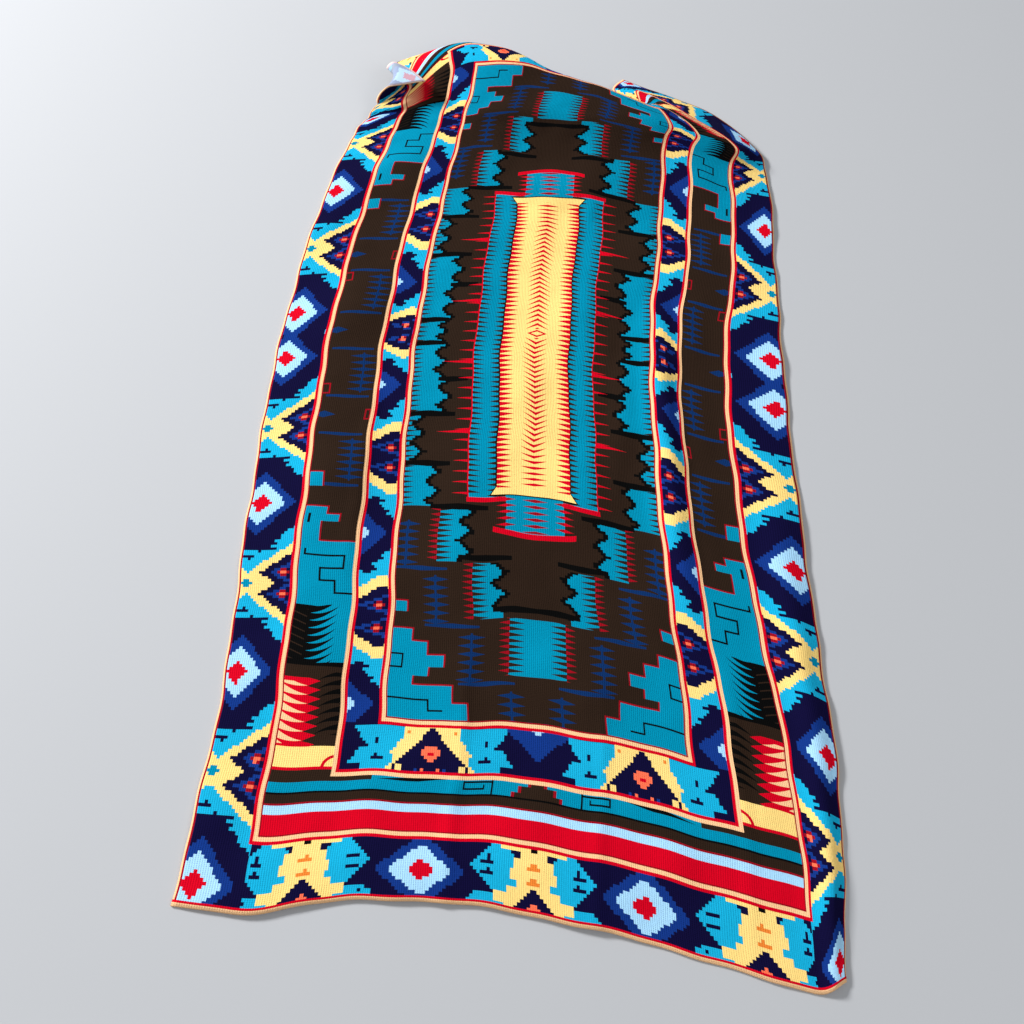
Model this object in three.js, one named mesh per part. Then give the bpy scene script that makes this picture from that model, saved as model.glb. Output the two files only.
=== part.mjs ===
import * as THREE from 'three';

// Throw blanket: one long piece of jacquard knit, lying face up on a flat surface.
// Millimetres, +Z up. The cloth is measured across (from its middle, right positive)
// and along (from its middle, far end positive). The far end is drawn together and
// tucked under, the far left corner is turned over, and the rest lies nearly flat.

const WIDTH = 915;
const LENGTH = 1830;
const THICKNESS = 3;

const HALF_WIDTH = WIDTH / 2;
const HALF_LENGTH = LENGTH / 2;

// Cells of the faceted sheet: across, along the flat part and along the gathered far end.
const CELLS_ACROSS = 34;
const CELLS_FLAT = 40;
const CELLS_GATHERED = 28;
const GATHER_START = 465;

// Lines that run the length of the cloth, by their distance across it.
const LINES = [
  { name: 'leftEdge', across: -HALF_WIDTH },
  { name: 'leftBand', across: -377 },
  { name: 'leftBorder', across: -284 },
  { name: 'leftField', across: -150 },
  { name: 'middle', across: 0 },
  { name: 'rightField', across: 229 },
  { name: 'rightBorder', across: 377 },
  { name: 'rightEdge', across: HALF_WIDTH },
];

// Sections of the flat part. The middle lies at x, y, the edges at leftEdge and
// rightEdge and the line inside the left edge at leftBand; the fits are how much of its
// cut width each half takes up between them, and the lags how far each edge trails
// behind the middle. Where single lines are pulled along as well, drawn says how far.
const FLAT_SECTIONS = [
  {
    along: -915, x: 8, y: -917, leftEdge: -476, leftBand: -385, rightEdge: 430,
    leftFit: 1.03, rightFit: 1.02, leftLag: -10, rightLag: -80,
    drawn: {
      leftEdge: 6, leftBand: -4, leftBorder: 10, leftField: 16,
      rightField: -14, rightBorder: -20, rightEdge: 14,
    },
  },
  {
    along: -670, x: 10, y: -661, leftEdge: -452, leftBand: -369, rightEdge: 444,
    leftFit: 0.995, rightFit: 0.98, leftLag: 0, rightLag: -92,
  },
  {
    along: -325, x: -3, y: -313, leftEdge: -450, leftBand: -367, rightEdge: 426,
    leftFit: 0.945, rightFit: 0.89, leftLag: -10, rightLag: -88,
  },
  {
    along: 0, x: -8, y: 16, leftEdge: -438, leftBand: -357, rightEdge: 415,
    leftFit: 0.9, rightFit: 0.86, leftLag: -32, rightLag: -82,
  },
  {
    along: 300, x: 8, y: 302, leftEdge: -398, leftBand: -321, rightEdge: 414,
    leftFit: 0.845, rightFit: 0.89, leftLag: -30, rightLag: -72,
  },
];
const LEFT_LAG_POWER = 2;
const RIGHT_LAG_POWER = 1.3;

// Sections of the gathered far end: where each line of the cloth lies, as x, y, z.
const FAR_SECTIONS = [
  {
    along: 465,
    leftEdge: [-364, 408, 2], leftBand: [-291, 416, 9], leftBorder: [-205, 420, 18],
    leftField: [-105, 428, 25], middle: [15, 428, 26],
    rightField: [217, 412, 26], rightBorder: [342, 386, 12], rightEdge: [412, 384, 2],
  },
  {
    along: 605,
    leftEdge: [-342, 454, 6], leftBand: [-266, 476, 26], leftBorder: [-184, 500, 44],
    leftField: [-88, 508, 58], middle: [25, 512, 58],
    rightField: [222, 456, 54], rightBorder: [337, 440, 32], rightEdge: [382, 458, 8],
  },
  {
    along: 690,
    leftEdge: [-332, 466, 12], leftBand: [-268, 486, 36], leftBorder: [-180, 556, 62],
    leftField: [-84, 575, 72], middle: [30, 560, 50],
    rightField: [200, 500, 46], rightBorder: [264, 493, 35], rightEdge: [318, 522, 8],
  },
  {
    along: 760,
    leftEdge: [-320, 480, 22], leftBand: [-256, 508, 48], leftBorder: [-190, 596, 61],
    leftField: [-80, 618, 48], middle: [34, 568, 9],
    rightField: [180, 517, 29], rightBorder: [214, 533, 29], rightEdge: [252, 558, 5],
  },
  {
    along: 840,
    leftEdge: [-302, 500, 34], leftBand: [-270, 532, 48], leftBorder: [-244, 602, 38],
    leftField: [-80, 600, 9], middle: [35, 505, 3],
    rightField: [171, 514, 19], rightBorder: [165, 562, 23], rightEdge: [192, 584, 4],
  },
  {
    along: 915,
    leftEdge: [-306, 530, 36], leftBand: [-300, 548, 40], leftBorder: [-286, 594, 18],
    leftField: [-84, 532, 3], middle: [35, 430, 2],
    rightField: [163, 507, 8], rightBorder: [124, 574, 11], rightEdge: [144, 606, 2],
  },
];

// Soft ridges in the cloth, each from one point to another as [across, along].
const RIDGES = [
  { name: 'pleat by the right inner border', from: [252, -400], to: [238, 110], height: 15, width: 30 },
  { name: 'wave above the panel', from: [-60, 335], to: [160, 300], height: 9, width: 42 },
  { name: 'wave in the far field', from: [-150, 525], to: [200, 500], height: 8, width: 40 },
  { name: 'swell of the left side', from: [-330, -560], to: [-360, 200], height: 7, width: 70 },
  { name: 'swell of the middle', from: [-120, -520], to: [-60, -120], height: 6, width: 90 },
  { name: 'roll of the near right edge', from: [418, -915], to: [425, -250], height: 14, width: 26 },
  { name: 'swell of the near end', from: [-260, -880], to: [120, -840], height: 6, width: 60 },
];
const RIDGE_FADE = 0.35;
const RESTING_BAND = 0.8;

// The far left corner is turned over along a line across it, and lies back that way.
const TURNED_CORNER = { from: [-325, 915], to: [-457.5, 785], radius: 10.5, lies: [0.87, -0.4, 0.06] };
const TURN_STEP = 4;

function flatSection(section) {
  const points = {};
  for (const line of LINES) {
    const share = Math.abs(line.across) / HALF_WIDTH;
    const onLeft = line.across < 0;
    const fit = onLeft ? section.leftFit : section.rightFit;
    const lag = onLeft
      ? section.leftLag * share ** LEFT_LAG_POWER
      : section.rightLag * share ** RIGHT_LAG_POWER;
    const drawn = section.drawn?.[line.name] ?? 0;
    const x = section[line.name] ?? section.x + line.across * fit;
    points[line.name] = [x, section.y + lag + drawn, 0];
  }
  return { along: section.along, ...points };
}

const SECTIONS = [...FLAT_SECTIONS.map(flatSection), ...FAR_SECTIONS];

// Smooth curve through points at given stations, read at one place.
function curveAt(stations, points, place) {
  const last = stations.length - 1;
  const rise = (i) => points[i + 1].clone().sub(points[i]).divideScalar(stations[i + 1] - stations[i]);
  const slope = (i) => {
    if (i === 0) return rise(0);
    if (i === last) return rise(last - 1);
    const before = stations[i] - stations[i - 1];
    const after = stations[i + 1] - stations[i];
    return rise(i - 1).multiplyScalar(after).addScaledVector(rise(i), before).divideScalar(before + after);
  };
  let i = 0;
  while (i < last - 1 && place > stations[i + 1]) i += 1;
  const step = stations[i + 1] - stations[i];
  const u = (place - stations[i]) / step;
  return points[i].clone().multiplyScalar((1 + 2 * u) * (1 - u) ** 2)
    .addScaledVector(slope(i), step * u * (1 - u) ** 2)
    .addScaledVector(points[i + 1], u * u * (3 - 2 * u))
    .addScaledVector(slope(i + 1), step * u * u * (u - 1));
}

function ridgeHeight(ridge, across, along) {
  const axis = new THREE.Vector2(ridge.to[0] - ridge.from[0], ridge.to[1] - ridge.from[1]);
  const offset = new THREE.Vector2(across - ridge.from[0], along - ridge.from[1]);
  const length = axis.length();
  axis.normalize();
  const run = offset.dot(axis);
  const aside = axis.cross(offset);
  const inside = Math.min(run, length - run) / (RIDGE_FADE * length);
  const fade = THREE.MathUtils.smoothstep(inside, -1, 1);
  return ridge.height * Math.exp(-((aside / ridge.width) ** 2)) * fade;
}

const ALONG_STATIONS = SECTIONS.map((section) => section.along);
const ACROSS_STATIONS = LINES.map((line) => line.across);

// Where a point of the cloth lies before the corner is turned over.
function laidPoint(across, along) {
  const row = LINES.map((line) => {
    const points = SECTIONS.map((section) => new THREE.Vector3(...section[line.name]));
    return curveAt(ALONG_STATIONS, points, along);
  });
  const point = curveAt(ACROSS_STATIONS, row, across);
  for (const ridge of RIDGES) point.z += ridgeHeight(ridge, across, along);
  return point;
}

// Where a point of the cloth lies, with the far left corner turned over and the
// lowest parts flat on the surface.
function clothPoint(across, along) {
  const start = new THREE.Vector2(...TURNED_CORNER.from);
  const end = new THREE.Vector2(...TURNED_CORNER.to);
  const fold = end.clone().sub(start).normalize();
  const outward = new THREE.Vector2(fold.y, -fold.x);
  const place = new THREE.Vector2(across, along);
  const beyond = place.clone().sub(start).dot(outward);
  let point;
  if (beyond > 0) {
    const { radius } = TURNED_CORNER;
    const turn = Math.min(beyond / radius, Math.PI);
    const back = Math.max(beyond - Math.PI * radius, 0);
    const foot = place.clone().addScaledVector(outward, -beyond);
    const inner = foot.clone().addScaledVector(outward, -TURN_STEP);
    const away = laidPoint(foot.x, foot.y).sub(laidPoint(inner.x, inner.y)).normalize();
    point = laidPoint(foot.x, foot.y).addScaledVector(away, radius * Math.sin(turn));
    point.z += radius * (1 - Math.cos(turn));
    point.addScaledVector(new THREE.Vector3(...TURNED_CORNER.lies), back);
  } else {
    point = laidPoint(across, along);
  }
  point.z = THICKNESS / 2 + Math.max(point.z - RESTING_BAND, 0);
  return point;
}

function evenSteps(from, to, cells) {
  return Array.from({ length: cells + 1 }, (_, i) => from + ((to - from) * i) / cells);
}

// One closed sheet: an upper and a lower face on the same folds, joined round the rim.
function clothGeometry() {
  const across = evenSteps(-HALF_WIDTH, HALF_WIDTH, CELLS_ACROSS);
  const along = [
    ...evenSteps(-HALF_LENGTH, GATHER_START, CELLS_FLAT),
    ...evenSteps(GATHER_START, HALF_LENGTH, CELLS_GATHERED).slice(1),
  ];
  const columns = across.length;
  const rows = along.length;
  const middle = along.map((t) => across.map((s) => clothPoint(s, t)));
  const corners = [];
  for (const side of [1, -1]) {
    for (let r = 0; r < rows; r += 1) {
      for (let c = 0; c < columns; c += 1) {
        const right = middle[r][Math.min(c + 1, columns - 1)].clone().sub(middle[r][Math.max(c - 1, 0)]);
        const ahead = middle[Math.min(r + 1, rows - 1)][c].clone().sub(middle[Math.max(r - 1, 0)][c]);
        const normal = right.cross(ahead).normalize();
        corners.push(middle[r][c].clone().addScaledVector(normal, (side * THICKNESS) / 2));
      }
    }
  }
  const upper = (r, c) => r * columns + c;
  const lower = (r, c) => rows * columns + r * columns + c;
  const faces = [];
  const addQuad = (a, b, c, d) => faces.push(a, b, c, a, c, d);
  for (let r = 0; r < rows - 1; r += 1) {
    for (let c = 0; c < columns - 1; c += 1) {
      addQuad(upper(r, c), upper(r, c + 1), upper(r + 1, c + 1), upper(r + 1, c));
      addQuad(lower(r, c), lower(r + 1, c), lower(r + 1, c + 1), lower(r, c + 1));
    }
  }
  const lastRow = rows - 1;
  const lastColumn = columns - 1;
  for (let c = 0; c < lastColumn; c += 1) {
    addQuad(lower(0, c), lower(0, c + 1), upper(0, c + 1), upper(0, c));
    addQuad(upper(lastRow, c), upper(lastRow, c + 1), lower(lastRow, c + 1), lower(lastRow, c));
  }
  for (let r = 0; r < lastRow; r += 1) {
    addQuad(upper(r, 0), upper(r + 1, 0), lower(r + 1, 0), lower(r, 0));
    addQuad(lower(r, lastColumn), lower(r + 1, lastColumn), upper(r + 1, lastColumn), upper(r, lastColumn));
  }
  const geometry = new THREE.BufferGeometry().setFromPoints(corners);
  geometry.setIndex(faces);
  geometry.computeBoundingBox();
  const box = geometry.boundingBox;
  geometry.translate(-(box.min.x + box.max.x) / 2, -(box.min.y + box.max.y) / 2, -box.min.z);
  geometry.computeVertexNormals();
  return geometry;
}

const knit = new THREE.MeshStandardMaterial({ color: 0x3a3a4a, roughness: 0.95, metalness: 0 });
const blanket = new THREE.Mesh(clothGeometry(), knit);
blanket.name = 'throw';

const group = new THREE.Group();
group.add(blanket);

export default group;
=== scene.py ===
import math

import bpy
import numpy as np
from mathutils import Matrix, Vector


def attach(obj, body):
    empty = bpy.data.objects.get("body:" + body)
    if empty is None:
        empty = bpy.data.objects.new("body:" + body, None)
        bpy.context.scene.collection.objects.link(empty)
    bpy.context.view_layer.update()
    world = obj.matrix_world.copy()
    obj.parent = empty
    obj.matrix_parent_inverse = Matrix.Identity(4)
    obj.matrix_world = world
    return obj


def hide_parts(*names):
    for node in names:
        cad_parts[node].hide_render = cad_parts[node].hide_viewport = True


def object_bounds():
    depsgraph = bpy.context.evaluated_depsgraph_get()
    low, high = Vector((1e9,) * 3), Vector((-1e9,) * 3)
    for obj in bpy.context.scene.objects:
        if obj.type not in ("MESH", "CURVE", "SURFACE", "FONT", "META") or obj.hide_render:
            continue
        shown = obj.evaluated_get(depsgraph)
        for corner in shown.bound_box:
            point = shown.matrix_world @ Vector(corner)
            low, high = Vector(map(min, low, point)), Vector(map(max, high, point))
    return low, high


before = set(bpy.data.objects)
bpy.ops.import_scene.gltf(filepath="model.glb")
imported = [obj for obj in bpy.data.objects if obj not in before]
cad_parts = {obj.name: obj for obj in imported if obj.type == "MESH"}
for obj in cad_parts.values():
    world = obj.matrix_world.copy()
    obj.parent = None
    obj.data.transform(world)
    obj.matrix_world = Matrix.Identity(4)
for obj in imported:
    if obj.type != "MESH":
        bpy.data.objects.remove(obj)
cad_low, cad_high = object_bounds()


# Throw: one long rectangle of double-faced jacquard knit, soft and matt, its edges
# finished with a narrow cream edge of the same knit. It lies loose and face up: the far
# end is drawn together and tucked under itself, and the far left corner is turned over.
HALF_WIDTH = 457.5
HALF_LENGTH = 915.0
CLOTH_THICKNESS = 2.6
# What lies lower than this lies on the floor, and the far end is gathered from here on.
RESTING_BAND = 0.8
GATHER_START = 465.0

# Lines of the pattern, from the middle to each side and to each end, and its stitch.
FIELD_SIDE, FIELD_END = 229, 670
BORDER_SIDE, BORDER_END = 284, 742
BAND_SIDE, BAND_END = 377, 828
STITCH = 4.5

# Lines that run the length of the cloth, by their distance across it in millimetres.
CLOTH_LINES = np.array([-HALF_WIDTH, -377.0, -284.0, -150.0, 0.0, 229.0, 377.0, HALF_WIDTH])

# Sections of the flat part: along, x, y, left edge, left band, right edge, left and right
# fit, left and right lag.
FLAT_SECTIONS = (
    (-915, 8, -917, -476, -385, 430, 1.03, 1.02, -10, -80),
    (-670, 10, -661, -452, -369, 444, 0.995, 0.98, 0, -92),
    (-325, -3, -313, -450, -367, 426, 0.945, 0.89, -10, -88),
    (0, -8, 16, -438, -357, 415, 0.9, 0.86, -32, -82),
    (300, 8, 302, -398, -321, 414, 0.845, 0.89, -30, -72),
)
# How far each line is pulled along at the near end.
NEAR_END_DRAWN = np.array([6, -4, 10, 16, 0, -14, -20, 14])

# Sections of the gathered far end: along, then where each line lies, as x, y, z.
FAR_SECTIONS = (
    (465, (-364, 408, 2), (-291, 416, 9), (-205, 420, 18), (-105, 428, 25),
     (15, 428, 26), (217, 412, 26), (342, 386, 12), (412, 384, 2)),
    (605, (-342, 454, 6), (-266, 476, 26), (-184, 500, 44), (-88, 508, 58),
     (25, 512, 58), (222, 456, 54), (337, 440, 32), (382, 458, 8)),
    (690, (-332, 466, 12), (-268, 486, 36), (-180, 556, 62), (-84, 575, 72),
     (30, 560, 50), (200, 500, 46), (264, 493, 35), (318, 522, 8)),
    (760, (-320, 480, 22), (-256, 508, 48), (-190, 596, 61), (-80, 618, 48),
     (34, 568, 9), (180, 517, 29), (214, 533, 29), (252, 558, 5)),
    (840, (-302, 500, 34), (-270, 532, 48), (-244, 602, 38), (-80, 600, 9),
     (35, 505, 3), (171, 514, 19), (165, 562, 23), (192, 584, 4)),
    (915, (-306, 530, 36), (-300, 548, 40), (-286, 594, 18), (-84, 532, 3),
     (35, 430, 2), (163, 507, 8), (124, 574, 11), (144, 606, 2)),
)

# Soft ridges and creases: from, to (across, along), height, width.
CLOTH_RIDGES = (
    ((252, -400), (238, 110), 15, 30),
    ((-60, 335), (160, 300), 9, 42),
    ((-150, 525), (200, 500), 8, 40),
    ((-330, -560), (-360, 200), 7, 70),
    ((-120, -520), (-60, -120), 6, 90),
    ((418, -915), (425, -250), 14, 26),
    ((-260, -880), (120, -840), 6, 60),
    ((60, 130), (86, 290), 4, 12),
    ((-250, -60), (-180, 240), 3, 26),
    ((150, -250), (190, 60), 3, 24),
    ((-40, -330), (150, -360), 3, 30),
    ((-120, -915), (-105, -560), 3, 9),
    ((85, -915), (100, -600), 2.5, 9),
    ((290, -900), (300, -520), 3, 10),
    ((-300, -420), (-286, -120), 2.5, 10),
    ((-190, 120), (-120, 190), 3, 14),
    ((110, 180), (220, 250), 4, 14),
)
# Each ridge fades over this share of its length at both ends.
RIDGE_FADE = 0.35
# Slight waves up to the gathers, where they fade: length across, length along, turn, height.
CLOTH_WAVES = ((430, 310, 0.4, 4.0), (210, 350, 2.1, 3.0), (125, 95, 1.0, 1.2))
WAVES_END, WAVES_FADE = 700, 150
# Slight pulls sideways and lengthways: length, turn, shift.
CLOTH_PULLS = ((190, 0.3, 1.4), (83, 1.9, 0.7))
# The far left corner is turned over this line across it, and lies back this way.
TURN_FROM, TURN_TO = np.array([-325.0, HALF_LENGTH]), np.array([-HALF_WIDTH, 785.0])
TURN_RADIUS = 10.5
TURN_STEP = 4
TURN_LIES = np.array([0.87, -0.4, 0.06])
# How the edges' trailing grows from the middle to the left and to the right.
LEFT_LAG_POWER, RIGHT_LAG_POWER = 2, 1.3


def section_points(section):
    x, y, left_edge, left_band, right_edge, left_fit, right_fit, left_lag, right_lag = section[1:]
    share = np.abs(CLOTH_LINES) / HALF_WIDTH
    left = CLOTH_LINES < 0
    across = x + CLOTH_LINES * np.where(left, left_fit, right_fit)
    across[0], across[1], across[-1] = left_edge, left_band, right_edge
    lag = np.where(left, left_lag * share ** LEFT_LAG_POWER, right_lag * share ** RIGHT_LAG_POWER)
    return np.column_stack([across, y + lag, np.zeros(len(share))])


section_along = np.array([section[0] for section in FLAT_SECTIONS + FAR_SECTIONS], float)
flat_net = [section_points(section) for section in FLAT_SECTIONS]
flat_net[0][:, 1] += NEAR_END_DRAWN
section_net = np.array(flat_net + [np.array(section[1:], float) for section in FAR_SECTIONS])


def slopes(stations, points):
    steps = np.diff(stations).reshape(-1, *[1] * (points.ndim - 1))
    rise = np.diff(points, axis=0) / steps
    inner = (rise[:-1] * steps[1:] + rise[1:] * steps[:-1]) / (steps[:-1] + steps[1:])
    return np.concatenate([rise[:1], inner, rise[-1:]])


def smooth_between(a, b, slope_a, slope_b, step, u):
    return (a * (1 + 2 * u) * (1 - u) ** 2 + slope_a * step * u * (1 - u) ** 2
            + b * u * u * (3 - 2 * u) + slope_b * step * u * u * (u - 1))


# Where a place on the cloth lies, before its corner is turned over.
def laid(across, along):
    i = np.clip(np.searchsorted(section_along, along, side="right") - 1, 0, len(section_along) - 2)
    step = (section_along[i + 1] - section_along[i])[:, None, None]
    u = (along - section_along[i])[:, None, None] / step
    tilt = slopes(section_along, section_net)
    rows = smooth_between(section_net[i], section_net[i + 1], tilt[i], tilt[i + 1], step, u).swapaxes(0, 1)
    tilt = slopes(CLOTH_LINES, rows)
    i = np.clip(np.searchsorted(CLOTH_LINES, across, side="right") - 1, 0, len(CLOTH_LINES) - 2)
    n = np.arange(len(across))
    step = (CLOTH_LINES[i + 1] - CLOTH_LINES[i])[:, None]
    u = (across - CLOTH_LINES[i])[:, None] / step
    point = smooth_between(rows[i, n], rows[i + 1, n], tilt[i, n], tilt[i + 1, n], step, u)
    for (s0, t0), (s1, t1), height, width in CLOTH_RIDGES:
        length = math.hypot(s1 - s0, t1 - t0)
        ds, dt = (s1 - s0) / length, (t1 - t0) / length
        run = (across - s0) * ds + (along - t0) * dt
        aside = (along - t0) * ds - (across - s0) * dt
        fade = np.clip(np.minimum(run, length - run) / (RIDGE_FADE * length), -1, 1) * 0.5 + 0.5
        point[:, 2] += height * np.exp(-((aside / width) ** 2)) * fade * fade * (3 - 2 * fade)
    return point


def cloth_point(across, along):
    fold = (TURN_TO - TURN_FROM) / np.linalg.norm(TURN_TO - TURN_FROM)
    out_s, out_t = fold[1], -fold[0]
    beyond = np.maximum((across - TURN_FROM[0]) * out_s + (along - TURN_FROM[1]) * out_t, 0)
    foot_s, foot_t = across - beyond * out_s, along - beyond * out_t
    away = laid(foot_s, foot_t) - laid(foot_s - TURN_STEP * out_s, foot_t - TURN_STEP * out_t)
    away /= np.linalg.norm(away, axis=1, keepdims=True)
    turn = np.minimum(beyond / TURN_RADIUS, math.pi)
    back = np.maximum(beyond - math.pi * TURN_RADIUS, 0)
    point = laid(foot_s, foot_t) + away * (TURN_RADIUS * np.sin(turn))[:, None]
    point += TURN_LIES * back[:, None]
    point[:, 2] += TURN_RADIUS * (1 - np.cos(turn))
    point[:, 2] = CLOTH_THICKNESS / 2 + np.maximum(point[:, 2] - RESTING_BAND, 0)
    for length_across, length_along, start, height in CLOTH_WAVES:
        wave = np.sin(across * math.tau / length_across + start)
        wave *= np.sin(along * math.tau / length_along + 1.7 * start)
        fade = np.clip((WAVES_END - along) / WAVES_FADE, 0, 1)
        point[:, 2] += height * np.maximum(wave, 0) ** 1.5 * fade
    for length, start, shift in CLOTH_PULLS:
        point[:, 0] += shift * np.sin(along * math.tau / length + across / 260 + start)
        point[:, 1] += shift * np.sin(across * math.tau / length - along / 310 + 2 * start)
    return point


def cells_between(stops, counts):
    runs = [np.linspace(a, b, n, endpoint=False) for a, b, n in zip(stops, stops[1:], counts)]
    return np.concatenate(runs + [stops[-1:]])


# Cells of the cloth, with a line of them on each line of the pattern.
half_across = (FIELD_SIDE, BORDER_SIDE, BAND_SIDE, HALF_WIDTH)
half_along = (FIELD_END, BORDER_END, BAND_END, HALF_LENGTH)
stops_across = [-stop for stop in half_across[::-1]] + [0, *half_across]
stops_along = [-stop for stop in half_along[::-1]] + [GATHER_START, *half_along]
CELLS_ACROSS = (11, 12, 7, 30, 30, 7, 12, 11)
CELLS_ALONG = (12, 11, 10, 150, 50, 18, 20, 23)
cell_across = cells_between(stops_across, CELLS_ACROSS)
cell_along = cells_between(stops_along, CELLS_ALONG)
columns, rows = len(cell_across), len(cell_along)
flat_s, flat_t = (a.ravel() for a in np.meshgrid(cell_across, cell_along))
middle = cloth_point(flat_s, flat_t).reshape(rows, columns, 3)
padded = np.pad(middle, ((1, 1), (1, 1), (0, 0)), mode="edge")
normal = np.cross(padded[1:-1, 2:] - padded[1:-1, :-2], padded[2:, 1:-1] - padded[:-2, 1:-1])
normal /= np.linalg.norm(normal, axis=2, keepdims=True)
face_points = (middle + normal * CLOTH_THICKNESS / 2).reshape(-1, 3)
back_points = (middle - normal * CLOTH_THICKNESS / 2).reshape(-1, 3)
cloth_points = np.concatenate([face_points, back_points])
cad_middle = (cad_low + cad_high) / 2
cloth_middle = (cloth_points.min(0) + cloth_points.max(0)) / 2
cloth_points[:, :2] += np.array(cad_middle[:2]) * 1000 - cloth_middle[:2]
cloth_points[:, 2] -= cloth_points[:, 2].min()

# Each cell's four corners, and the run of corners round the rim.
index = np.arange(rows * columns).reshape(rows, columns)
near_left, near_right = index[:-1, :-1].ravel(), index[:-1, 1:].ravel()
far_right, far_left = index[1:, 1:].ravel(), index[1:, :-1].ravel()
rim = np.concatenate([index[0, :], index[1:, -1], index[-1, -2::-1], index[-2:0:-1, 0]])
rim_next = np.roll(rim, -1)
under = rows * columns
face_quads = np.column_stack([near_left, near_right, far_right, far_left])
back_quads = np.column_stack([near_left, far_left, far_right, near_right]) + under
rim_quads = np.column_stack([rim + under, rim_next + under, rim_next, rim])
quads = np.concatenate([face_quads, back_quads, rim_quads])
throw_mesh = bpy.data.meshes.new("throw_knit")
throw_mesh.from_pydata(cloth_points / 1000, [], quads.tolist())
throw_mesh.polygons.foreach_set("use_smooth", np.ones(len(quads), bool))

# The areas of the pattern from the middle out: field, inner border, band, outer border.
from_side = np.abs(flat_s[near_left] + flat_s[near_right]) / 2
from_end = np.abs(flat_t[near_left] + flat_t[far_left]) / 2
area = sum(
    ((from_side > side) | (from_end > end)).astype(int)
    for side, end in ((FIELD_SIDE, FIELD_END), (BORDER_SIDE, BORDER_END), (BAND_SIDE, BAND_END)))
AREAS = 4
rim_area = np.full(len(rim_quads), AREAS - 1)
throw_mesh.polygons.foreach_set("material_index", np.concatenate([area, area + AREAS, rim_area]))

# The cloth's own measures, across and along, as a map in metres, and a second map with
# the face, the reverse and the rim side by side.
corner = quads.ravel()
cloth_s, cloth_t = flat_s[corner % under], flat_t[corner % under]
measures = throw_mesh.uv_layers.new(name="ClothMeasures")
measures.data.foreach_set("uv", (np.column_stack([cloth_s, cloth_t]) / 1000).ravel())
side_by_side = throw_mesh.uv_layers.new(name="OFBake")
MAP_GAP = 0.005
FACE, REVERSE, RIM = 0, 1, 2
part = np.repeat([FACE, REVERSE, RIM], [4 * len(face_quads), 4 * len(back_quads), 4 * len(rim_quads)])
across_share, along_share = cloth_s / HALF_WIDTH / 2 + 0.5, cloth_t / HALF_LENGTH / 2 + 0.5
bake_u = np.where(part == REVERSE, 0.5 + MAP_GAP, MAP_GAP) + across_share * 0.485
bake_v = MAP_GAP + along_share * 0.96
rim_run = np.zeros(rows * columns)
rim_run[rim] = np.arange(len(rim))
run = rim_run[corner % under].reshape(-1, 4)
run[-1] = np.where(run[-1] == 0, len(rim), run[-1])
bake_u = np.where(part == RIM, MAP_GAP + 0.985 * run.ravel() / len(rim), bake_u)
bake_v = np.where(part == RIM, np.where(corner >= under, 0.98, 0.98 + MAP_GAP), bake_v)
side_by_side.data.foreach_set("uv", np.column_stack([bake_u, bake_v]).ravel())
throw_mesh.uv_layers.active = measures
throw_mesh.update()
throw = bpy.data.objects.new("throw_cloth", throw_mesh)
bpy.context.scene.collection.objects.link(throw)

# Yarn colours, as seen.
YARNS = {
    "red": (206, 3, 31), "dark red": (150, 12, 28), "turquoise": (0, 136, 170), "cyan": (22, 168, 210),
    "navy": (14, 11, 50), "blue": (18, 52, 128), "dash blue": (13, 46, 96), "light blue": (165, 213, 245),
    "yellow": (252, 215, 129), "cream": (244, 194, 144), "brown": (43, 30, 22), "black": (8, 8, 8),
    "salmon": (255, 112, 78), "orange": (235, 130, 50),
}


def yarn(name):
    shares = [c / 255 for c in YARNS[name]]
    return [c / 12.92 if c <= 0.04045 else ((c + 0.055) / 1.055) ** 2.4 for c in shares] + [1.0]


# The jacquard: masks on the cloth's measures, laid over one another from a plain ground.
# The pattern is the same in all four quarters, and most motifs step in whole stitches.
class Measure:
    def __init__(self, socket):
        self.socket = socket

    def __add__(self, other):
        return knit_math("ADD", self, other)

    def __radd__(self, other):
        return knit_math("ADD", other, self)

    def __sub__(self, other):
        return knit_math("SUBTRACT", self, other)

    def __rsub__(self, other):
        return knit_math("SUBTRACT", other, self)

    def __mul__(self, other):
        return knit_math("MULTIPLY", self, other)

    def __truediv__(self, other):
        return knit_math("DIVIDE", self, other)

    def __abs__(self):
        return knit_math("ABSOLUTE", self)

    def __lt__(self, other):
        return knit_math("LESS_THAN", self, other)

    def __gt__(self, other):
        return knit_math("GREATER_THAN", self, other)

    def __and__(self, other):
        return knit_math("MULTIPLY", self, other)

    def __or__(self, other):
        return knit_math("MAXIMUM", self, other)


def knit_math(operation, *values):
    tree = next(value for value in values if isinstance(value, Measure)).socket.id_data
    node = tree.nodes.new("ShaderNodeMath")
    node.operation = operation
    for socket, value in zip(node.inputs, values):
        if isinstance(value, Measure):
            tree.links.new(value.socket, socket)
        else:
            socket.default_value = value
    return Measure(node.outputs[0])


def zigzag(x, half):
    return knit_math("PINGPONG", x, half)


def stitches(x, size):
    return knit_math("SNAP", x, size) + size / 2


def lower(x, y):
    return knit_math("MINIMUM", x, y)


def higher(x, y):
    return knit_math("MAXIMUM", x, y)


def between(x, start, end):
    return knit_math("COMPARE", x, (start + end) / 2, (end - start) / 2)


def stairs(x, steps):
    height = float(steps[0][1])
    for (_, before), (start, after) in zip(steps, steps[1:]):
        height = knit_math("MULTIPLY_ADD", x > start, float(after - before), height)
    return height


def any_of(masks):
    total = masks[0]
    for mask in masks[1:]:
        total = total | mask
    return total


def boxes(x, y, marks):
    return any_of([between(x, x0, x1) & between(y, y0, y1) for x0, x1, y0, y1 in marks])


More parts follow.
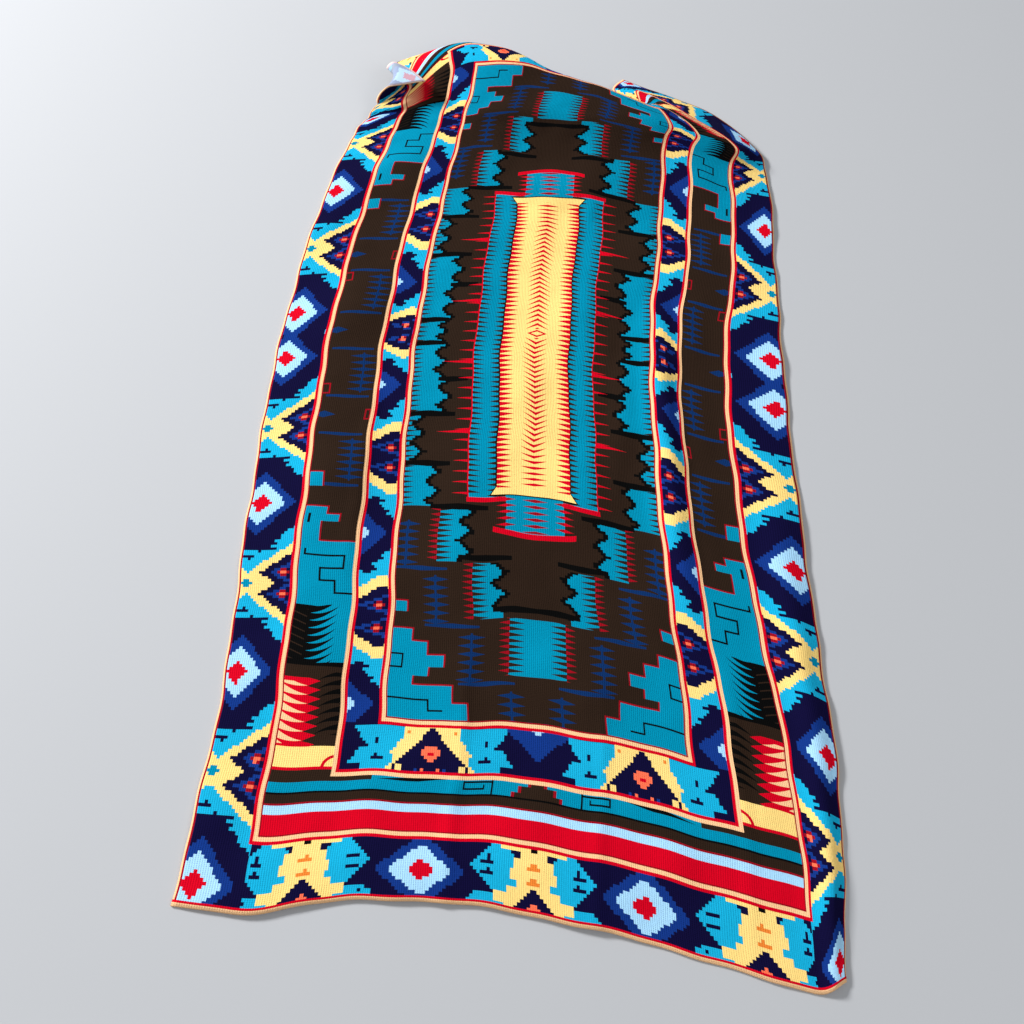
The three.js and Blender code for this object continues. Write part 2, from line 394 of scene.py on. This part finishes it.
class Chart:
    def __init__(self, name, ground):
        self.tree = bpy.data.node_groups.new(name, "ShaderNodeTree")
        for measure in ("Across", "Along"):
            self.tree.interface.new_socket(measure, in_out="INPUT", socket_type="NodeSocketFloat")
        self.tree.interface.new_socket("Yarn", in_out="OUTPUT", socket_type="NodeSocketColor")
        start = self.tree.nodes.new("NodeGroupInput")
        self.end = self.tree.nodes.new("NodeGroupOutput")
        self.u, self.v = abs(Measure(start.outputs["Across"])), abs(Measure(start.outputs["Along"]))
        self.ground, self.knitted = ground, None

    def knit(self, mask, name):
        node = self.tree.nodes.new("ShaderNodeMix")
        node.data_type = "RGBA"
        self.tree.links.new(mask.socket, node.inputs[0])
        if self.knitted:
            self.tree.links.new(self.knitted, node.inputs[6])
        else:
            node.inputs[6].default_value = yarn(self.ground)
        node.inputs[7].default_value = yarn(name)
        self.knitted = node.outputs[2]

    def finish(self):
        self.tree.links.new(self.knitted, self.end.inputs["Yarn"])


# In the charts u and v are the distances from the middle of the width and of the length,
# p and q the same in whole stitches, and the widths of the lines between the areas are these.
CREAM_LINE = 5.5
OUTLINED_LINE = 7.5
RED_LINE = 4.2

# Field: a stepped turquoise ring with a black serrated inner side and combed outer side.
field = Chart("field chart", "brown")
u, v, knit = field.u, field.v, field.knit
p, q = stitches(u, STITCH), stitches(v, STITCH)
RING_INSIDE = ((0, 166), (97, 156), (162, 196), (252, 166), (327, 106), (420, 50), (508, -60), (596, 240))
RING_OUTSIDE = ((0, FIELD_SIDE), (327, 158), (420, 100), (508, 44), (596, 0))
ring_in, ring_out = stairs(v, RING_INSIDE), stairs(v, RING_OUTSIDE)
jag = p - ring_in - zigzag(q + 6, 17) * 1.35
comb = zigzag(v, 4.6)
knit(between(jag, -10, 3) & (v < 500), "black")
knit((jag > 0) & (u < ring_out), "turquoise")
teeth = ring_out - u
knit((comb < 3.2 - teeth * 0.13) & between(teeth, 0, 24), "brown")
knit((comb < 3.2 + teeth * 0.2) & between(teeth, -16, 0) & between(v, 330, 596), "dark red")
# Black bars where the ring steps: along, from, to.
RING_BARS = (
    (24, 168, 229), (97, 122, 176), (162, 142, 229), (252, 144, 222),
    (327, 80, 176), (412, 38, 124), (494, 0, 70),
)
for at, start, end in RING_BARS:
    taper = abs(u - (start + end) / 2) * (3.5 / (end - start))
    knit((abs(v - at) < 5.4 - taper) & between(u, start, end), "black")
# Red line with spikes, then the turquoise strips with dark teeth.
spikes = u - 113
knit((zigzag(v, 9.5) < 2.2 - spikes * 0.08) & (spikes > -1) & (v < 312), "red")
knit((zigzag(v - 62, 66) < 3.6 - spikes * 0.062) & (spikes > -1) & (v < 312), "red")
knit((u < 114) & (v < 312), "red")
knit((u < 112) & (v < 312), "turquoise")
fine = zigzag(v, 4.7)
strip_teeth = (fine < 2.5 - (112 - u) * 0.12) | (fine > 1.9 + (u - 66) * 0.17)
knit(strip_teeth & (u < 112) & (v < 308), "brown")
# Shoulders and end block of the panel.
knit(between(v - abs(u - 60) * 0.04, 308, 316) & between(u, 50, 116), "red")
knit((u < 50) & between(v, 303, 372), "turquoise")
block_rows = zigzag(v - 307, 5.4)
in_block = between(v, 308, 368)
knit((block_rows > 2.5 + lower(u * 0.13, abs(u - 50) * 0.17)) & in_block & (u < 72), "dark red")
knit((block_rows > 2.9 + abs(u - 50) * 0.2) & in_block & (u > 48), "red")
knit(between(v + u * u * 0.0022, 369, 378) & (u < 70), "red")
# Yellow panel with red teeth and a spine of red chevrons.
flare = higher(v - 290, 0) * 0.75
knit((u < 66 + flare) & (v < 306), "black")
knit((u < 64 + flare) & (v < 304), "yellow")
knit((fine < 4 - (64 - u) * 0.16) & (u < 64) & (v < 292), "red")
lean = lower(higher(262 - v, 0), 60) * 0.0083
knit((zigzag(v + u * lean, 4.9) < 2.6 - u * 0.11) & between(v, 9, 292), "red")
knit(u / 19 + v / 7.5 < 1, "red")
knit(u / 12 + v / 4 < 1, "yellow")
# Corner terraces outlined in dark red, with dark frets.
TERRACE = (
    (0, 300), (486, 204), (502, 300), (528, 192), (546, 168),
    (566, 142), (584, 164), (598, 186), (612, 126), (638, 104),
)
terrace = stairs(v, TERRACE)
knit((u > lower(terrace, stairs(v + 2.5, TERRACE)) - 2.6) & (v > 480), "dark red")
knit((u > terrace) & (v > 480), "turquoise")
knit(boxes(u, v, (
    (203, 223, 566, 568.6), (203, 205.6, 566, 588), (203, 223, 586, 588.6),
    (160, 223, 632, 634.6), (160, 162.6, 632, 650), (140, 162, 648, 650.6))), "black")
# Dark blue dashes on spines that step towards the middle: across, from, to.
for across, start, end in ((208, 352, 430), (158, 442, 518), (101, 530, 606), (38, 620, 664)):
    from_spine = abs(u - across)
    dashes = (zigzag(v - start - 6.5, 6.5) < 4.2 - from_spine * 0.2) | (from_spine < 1.8)
    knit(dashes & between(v, start, end), "dash blue")
    bar = abs(v - end - 2) < 3.8 - abs(u - across + 26) * 0.05
    knit(bar & between(u, across - 68, across + 16), "dash blue")
from_field = higher(u - FIELD_SIDE, v - FIELD_END)
knit(from_field > -OUTLINED_LINE, "dark red")
knit(from_field > -CREAM_LINE, "cream")
field.finish()

# Inner border: dark half-diamonds in yellow chevrons, cyan flags, blue half-diamonds.
inner_border = Chart("inner border chart", "navy")
u, v, knit = inner_border.u, inner_border.v, inner_border.knit
p, q = stitches(u, STITCH), stitches(v, STITCH)
x, r = p - FIELD_SIDE, lower(q * 1.2857, zigzag(q - 240, 135))
knit((55 - x) / 44 + (135 - r) / 40 < 1, "blue")
knit((55 - x) / 17 + (135 - r) / 15 < 1, "light blue")
flags = (x < 34 - abs(r - 83) * 1.7) | (x < 20 - abs(r - 98) * 1.5)
knit((r < 75) | flags, "cyan")
knit(between(r, 70, 76) & between(x, 30, 44), "navy")
knit(r < 68 - abs(x - 14) * 0.6, "yellow")
knit(r < 50 - abs(x - 14) * 0.6, "navy")
knit(abs((x - 6) / 44 + abs(r - 18) / 14 - 0.9) < 0.18, "blue")
knit(abs(x - 19) + abs(r - 18) < 9, "dark red")
knit(abs(x - 19) + abs(r - 18) < 5.5, "salmon")
# Its ends: a flat dark triangle in yellow with cyan flags on either side.
k, m = q - FIELD_END, abs(p - 153)
ends = k > 0
knit(ends, "navy")
upper_flag = (m < 116 - k * 0.7) & between(k, 6, 36)
lower_flag = (m < 74 + k * 0.75) & between(k, 36, 60)
knit(upper_flag | lower_flag | ((m < 100) & (k > 60)), "cyan")
knit((m < 40 + k * 0.42 - zigzag(k - 4, 18) * 0.5) & ends, "yellow")
knit((m < k * 0.9 - 3) & ends, "navy")
for name, marks in {
    "salmon": ((0, 14, 38, 47), (0, 5, 31, 55), (0, 9.5, 34, 51), (9, 14, 62, 69)),
    "red": ((0, 5, 41, 44),), "blue": ((18, 23, 62, 69),), "yellow": ((40, 50, 58, 67),),
    "navy": ((70, 88, 30, 34), (77, 81, 24, 33), (68, 86, 52, 56), (75, 79, 47, 55)),
    "orange": ((30, 38, 10, 13), (45, 53, 26, 29)),
}.items():
    knit(boxes(m, k, marks), name)
knit((p < 52 - k * 1.1) & ends, "blue")
knit((p < 12 - k * 1.1) & ends, "light blue")
knit(higher(u - FIELD_SIDE, v - FIELD_END) < RED_LINE, "red")
knit(higher(u - BORDER_SIDE, v - BORDER_END) > -RED_LINE, "red")
inner_border.finish()

# Band between the borders: brown with dark blue dashes, stepped turquoise, then combs.
band = Chart("band chart", "brown")
u, v, knit = band.u, band.v, band.knit
n = u - BORDER_SIDE
w, from_spine = zigzag(v, 83), abs(n - 27)
dashes = (zigzag(w - 76.5, 6.5) < 4 - from_spine * 0.18) | (from_spine < 1.6)
knit(dashes & (w > 44) & (v < 312), "dash blue")
knit((abs(w - 36) < 3.2 - abs(n - 46) * 0.04) & between(n, 12, 80) & (v < 312), "dash blue")
knit((w < 6.5 - abs(n - 78) * 0.36) & (v < 312), "dash blue")
knit(boxes(n, v, (
    (74, 88, 106, 108.5), (74, 88, 123.5, 126), (74, 76.5, 106, 126), (85.5, 88, 106, 126),
    (5, 15, 154, 156.5), (5, 15, 171.5, 174), (5, 7.5, 154, 174), (12.5, 15, 154, 174))), "dark red")
LIP = ((0, 400), (276, 66), (300, 400), (334, 54), (346, 34), (358, 60), (392, 0), (590, 400))
lip = stairs(v, LIP)
knit(n > lower(lip, stairs(v + 2.5, LIP)) - 2.6, "dark red")
knit(n > lip, "turquoise")
knit(boxes(n, v, (
    (18, 80, 414, 417), (77, 80, 406, 417), (18, 21, 414, 438), (18, 55, 435, 438), (52, 55, 435, 458),
    (30, 55, 455, 458), (30, 33, 455, 478), (0, 33, 475, 478), (76, 80, 346, 362))), "black")
bend = higher(62 - n, 0)
feathers = zigzag(v + bend * bend * 0.012, 6) < 6 - bend * 0.15
knit(feathers & between(v + bend * 0.1, 498, 592), "black")
knit((zigzag(v + n * 0.35, 6) < 1) & between(v, 505, 584) & (n > 66), "brown")
knit(between(v - n * 0.08, 584, 592), "black")
knit(between(v, 592, 706), "brown")
knit((zigzag(v - n * n * 0.008, 6.4) < 5 - n * 0.13) & between(v, 600, 690), "black")
flame = n - 34
knit((zigzag(v - flame * flame * 0.004, 6.4) < flame * 0.34) & between(v, 610, 706) & (n > 34), "red")
flame = n - 52
knit((zigzag(v + 6 + flame * flame * 0.006, 6.4) < flame * 0.15) & between(v, 616, 704) & (n > 52), "cream")
knit(between(v, 706, 736), "yellow")
knit(between(n * n + (v - 736) * (v - 736) * 1.4, 300, 480) & (v < 736), "red")
knit((between(v, 703, 706.5) & (n > 40)) | between(v, 734, 738), "red")
# End stripes, with a red-outlined stepped pyramid and frets in the middle.
knit(v > 738, "brown")
knit((u < 232) & (v > BORDER_END), "turquoise")
knit(abs(v - 746 - (u - 120) * 0.06) < 3.6 - abs(u - 165) * 0.06, "black")
knit(boxes(u, v, (
    (62, 104, 749, 751.5), (101.5, 104, 749, 761), (74, 104, 758.5, 761),
    (62, 64.5, 746, 768), (74, 76, 754, 761))), "black")
pyramid = stitches(stitches(v, STITCH) - BORDER_END, 2 * STITCH) * 1.25
p = stitches(u, STITCH)
knit((p < 10 + pyramid) & between(v, 746, 772), "dark red")
knit((p < 5 + pyramid) & between(v, 748, 772), "brown")
knit(between(v, 754, 768) & (u > 104), "turquoise")
END_STRIPES = ((767, "black"), (769.5, "brown"), (781, "dark red"), (783.5, "light blue"), (795, "red"))
for start, name in END_STRIPES:
    knit(v > start, name)
knit(between(higher(u - BORDER_SIDE, v - BORDER_END), 0, CREAM_LINE), "cream")
from_band = higher(u - BAND_SIDE, v - BAND_END)
knit(from_band > -OUTLINED_LINE, "dark red")
knit(from_band > -CREAM_LINE, "cream")
band.finish()

# Outer border, ends: full diamonds between yellow hourglasses with cyan lobes.
outer_border = Chart("outer border chart", "navy")
u, v, knit = outer_border.u, outer_border.v, outer_border.knit
p, q = stitches(u, STITCH), stitches(v, STITCH)
END_REPEAT = 152.5
y, z = q - BAND_END, zigzag(p, END_REPEAT)
d, off = END_REPEAT - z, abs(y - 45)
knit(d / 62 + off / 50 < 1, "blue")
knit(d / 44 + off / 35 < 1, "light blue")
knit(d / 18 + off / 17 < 1, "red")
upper_lobe = abs(z - 46) / 40 + abs(y - 34) / 38 < 1
lower_lobe = (abs(z - 62) < 30 - abs(y - 78) * 1.2) & (y > 66)
knit(upper_lobe | lower_lobe, "cyan")
HOURGLASS = ((0, 46), (9, 18), (18, 26), (32, 32), (46, 24), (56, 36), (63, 54), (76, 40))
knit(z < stairs(y, HOURGLASS), "yellow")
knit(z / 38 + (89 - y) / 38 < 1, "navy")
knit(z / 14 + (86 - y) / 15 < 1, "salmon")
for name, marks in {
    "black": ((0, 5, 0, 8),),
    "orange": ((0, 9.5, 27, 30), (0, 2.5, 21, 30), (0, 9.5, 45, 48), (0, 2.5, 39, 48), (36, 46, 70, 73)),
    "navy": (
        (54, 70, 27, 30), (60, 64, 20, 30), (54, 70, 42, 45),
        (60, 64, 36, 45), (60, 84, 75, 78), (70, 74, 70, 78)),
}.items():
    knit(boxes(z, y, marks), name)
# Outer border, sides: diamonds cut by the edge, and yellow chevrons round dark half-diamonds.
sides = u > BAND_SIDE
SIDE_REPEAT = 139.65
x, w = p - BAND_SIDE, zigzag(q - 47, SIDE_REPEAT)
r, off = SIDE_REPEAT - w, abs(x - 62)
lobe = abs(r - 17.5)
knit(sides, "navy")
knit((off / 50 + w / 58 < 1) & sides, "blue")
knit((off / 36 + w / 38 < 1) & sides, "light blue")
knit((off / 17 + w / 18 < 1) & sides, "red")
flags = (x < 42 - abs(r - 66) * 1.7) | (x < 24 - abs(r - 83) * 1.5)
knit(((r < 57) | flags) & sides, "cyan")
knit(((x / 88 + r / 72 < 1) | ((84 - x) / 34 + r / 32 < 1)) & sides, "yellow")
knit((x / 50 + lobe / 38 < 1) & sides, "navy")
knit((abs((x - 5) / 29 + lobe / 17 - 0.85) < 0.2) & sides, "blue")
knit((abs(x - 15) + lobe < 9) & sides, "dark red")
knit((abs(x - 15) + lobe < 5.5) & sides, "salmon")
knit((abs(x - 69) + r < 10) & sides, "turquoise")
side_marks = boxes(x, r, (
    (40, 62, 58, 61), (49, 53, 52, 61), (60, 76, 44, 47), (66, 70, 40, 47), (30, 42, 66, 69)))
knit(side_marks & sides, "navy")
knit(higher(u - BAND_SIDE, v - BAND_END) < RED_LINE, "red")
# The cream edge, with a red line inside it.
knit(u > HALF_WIDTH - 4.5, "dark red")
knit(u > HALF_WIDTH - 2, "cream")
knit(v > HALF_LENGTH - 8, "red")
knit(v > HALF_LENGTH - 5, "cream")
outer_border.finish()


# Knit of each area: stitches in fine ribs, slightly mottled, with painted shade darkening the grooves
# between the stitches; the reverse is washed out.
HALF_RIB, HALF_ROW = 1.5, 1.2
KNIT_DEPTH = 0.0012
REVERSE_FADE = 0.55
REVERSE_WASH = (0.5, 0.57, 0.68, 1)


def knit_material(name, chart, fade):
    material = bpy.data.materials.new(name)
    material.use_nodes = True
    tree = material.node_tree
    shader = tree.nodes["Principled BSDF"]
    measure = tree.nodes.new("ShaderNodeUVMap")
    measure.uv_map = "ClothMeasures"
    scale = tree.nodes.new("ShaderNodeVectorMath")
    scale.operation = "SCALE"
    scale.inputs["Scale"].default_value = 1000
    split = tree.nodes.new("ShaderNodeSeparateXYZ")
    tree.links.new(measure.outputs["UV"], scale.inputs[0])
    tree.links.new(scale.outputs[0], split.inputs[0])
    across, along = Measure(split.outputs["X"]), Measure(split.outputs["Y"])
    knitted = tree.nodes.new("ShaderNodeGroup")
    knitted.node_tree = chart.tree
    tree.links.new(across.socket, knitted.inputs["Across"])
    tree.links.new(along.socket, knitted.inputs["Along"])
    colour = knitted.outputs["Yarn"]
    if fade:
        wash = tree.nodes.new("ShaderNodeMix")
        wash.data_type = "RGBA"
        wash.inputs[0].default_value = fade
        wash.inputs[7].default_value = REVERSE_WASH
        tree.links.new(colour, wash.inputs[6])
        colour = wash.outputs[2]
    rib = zigzag(across, HALF_RIB)
    stitch_relief_and_shade = rib * 0.4 + zigzag(along + rib * 0.8, HALF_ROW) * 0.3
    mottle = tree.nodes.new("ShaderNodeTexNoise")
    mottle.inputs["Scale"].default_value = 0.35
    mottle.inputs["Detail"].default_value = 3
    mottle.inputs["Roughness"].default_value = 0.7
    tree.links.new(scale.outputs[0], mottle.inputs["Vector"])
    mottled = Measure(mottle.outputs["Fac"])
    # The yarn colour is multiplied by the mottle, a random heather tone, and by the stitch relief, which is
    # painted shade: darker in the grooves between ribs and rows.
    mottle_and_stitch_shade = tree.nodes.new("ShaderNodeMix")
    mottle_and_stitch_shade.data_type = "RGBA"
    mottle_and_stitch_shade.blend_type = "MULTIPLY"
    mottle_and_stitch_shade.inputs[0].default_value = 1
    tree.links.new(colour, mottle_and_stitch_shade.inputs[6])
    tree.links.new((mottled * 0.36 + stitch_relief_and_shade * 0.07 + 0.77).socket, mottle_and_stitch_shade.inputs[7])
    tree.links.new(mottle_and_stitch_shade.outputs[2], shader.inputs["Base Color"])
    bump = tree.nodes.new("ShaderNodeBump")
    bump.inputs["Strength"].default_value = 0.5
    bump.inputs["Distance"].default_value = KNIT_DEPTH
    tree.links.new((stitch_relief_and_shade + mottled).socket, bump.inputs["Height"])
    tree.links.new(bump.outputs[0], shader.inputs["Normal"])
    tree.links.new((mottled * 0.12 + 0.84).socket, shader.inputs["Roughness"])
    shader.inputs["Specular IOR Level"].default_value = 0.03
    return material


charts = {"field": field, "inner_border": inner_border, "band": band, "outer_border": outer_border}
for side, fade in (("face", 0), ("reverse", REVERSE_FADE)):
    for name, chart in charts.items():
        throw_mesh.materials.append(knit_material(name + "_" + side, chart, fade))
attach(throw, "root")
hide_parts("throw")


# Setting: a plain pale floor, soft light from above and a camera at standing height.
FLOOR_REACH = 6
bpy.context.scene.view_settings.view_transform = "Standard"
floor_corners = [(x * FLOOR_REACH, y * FLOOR_REACH, 0) for x, y in ((-1, -1), (1, -1), (1, 1), (-1, 1))]
floor_mesh = bpy.data.meshes.new("floor")
floor_mesh.from_pydata(floor_corners, [], [(0, 1, 2, 3)])
floor = bpy.data.objects.new("floor", floor_mesh)
bpy.context.scene.collection.objects.link(floor)
floor_paint = bpy.data.materials.new("floor_paint")
floor_paint.use_nodes = True
paint = floor_paint.node_tree.nodes["Principled BSDF"]
paint.inputs["Base Color"].default_value = (0.46, 0.47, 0.49, 1)
paint.inputs["Roughness"].default_value = 0.9
floor_mesh.materials.append(floor_paint)

world = bpy.data.worlds.new("studio")
world.use_nodes = True
sky = world.node_tree.nodes["Background"]
sky.inputs["Color"].default_value = (0.94, 0.97, 1.0, 1)
sky.inputs["Strength"].default_value = 0.38
bpy.context.scene.world = world
for name, place, size, power in (
    ("key", Vector((-4.8, 2.6, 2.8)), 1.2, 640),
    ("fill", Vector((3.0, -2.4, 3.6)), 2.5, 60),
):
    lamp = bpy.data.lights.new(name, "AREA")
    lamp.size = size
    lamp.energy = power
    light = bpy.data.objects.new(name, lamp)
    light.location = place
    light.rotation_euler = (-place).to_track_quat("-Z", "Y").to_euler()
    bpy.context.scene.collection.objects.link(light)

CAMERA_PLACE = (-0.068, -0.8464, 1.578)
depression, roll, yaw = math.radians(65.5), math.radians(6.0), math.radians(3.6)
level = Vector((math.cos(yaw), -math.sin(yaw), 0))
ahead = Vector((math.sin(yaw), math.cos(yaw), 0)) * math.cos(depression)
ahead.z = -math.sin(depression)
upright = level.cross(ahead)
right = level * math.cos(roll) + upright * math.sin(roll)
top = upright * math.cos(roll) - level * math.sin(roll)
camera_data = bpy.data.cameras.new("camera")
camera_data.sensor_width = 36
camera_data.lens = 38.67
camera = bpy.data.objects.new("camera", camera_data)
facing = Matrix((right, top, -ahead)).transposed().to_4x4()
camera.matrix_world = Matrix.Translation(CAMERA_PLACE) @ facing
bpy.context.scene.collection.objects.link(camera)
bpy.context.scene.camera = camera
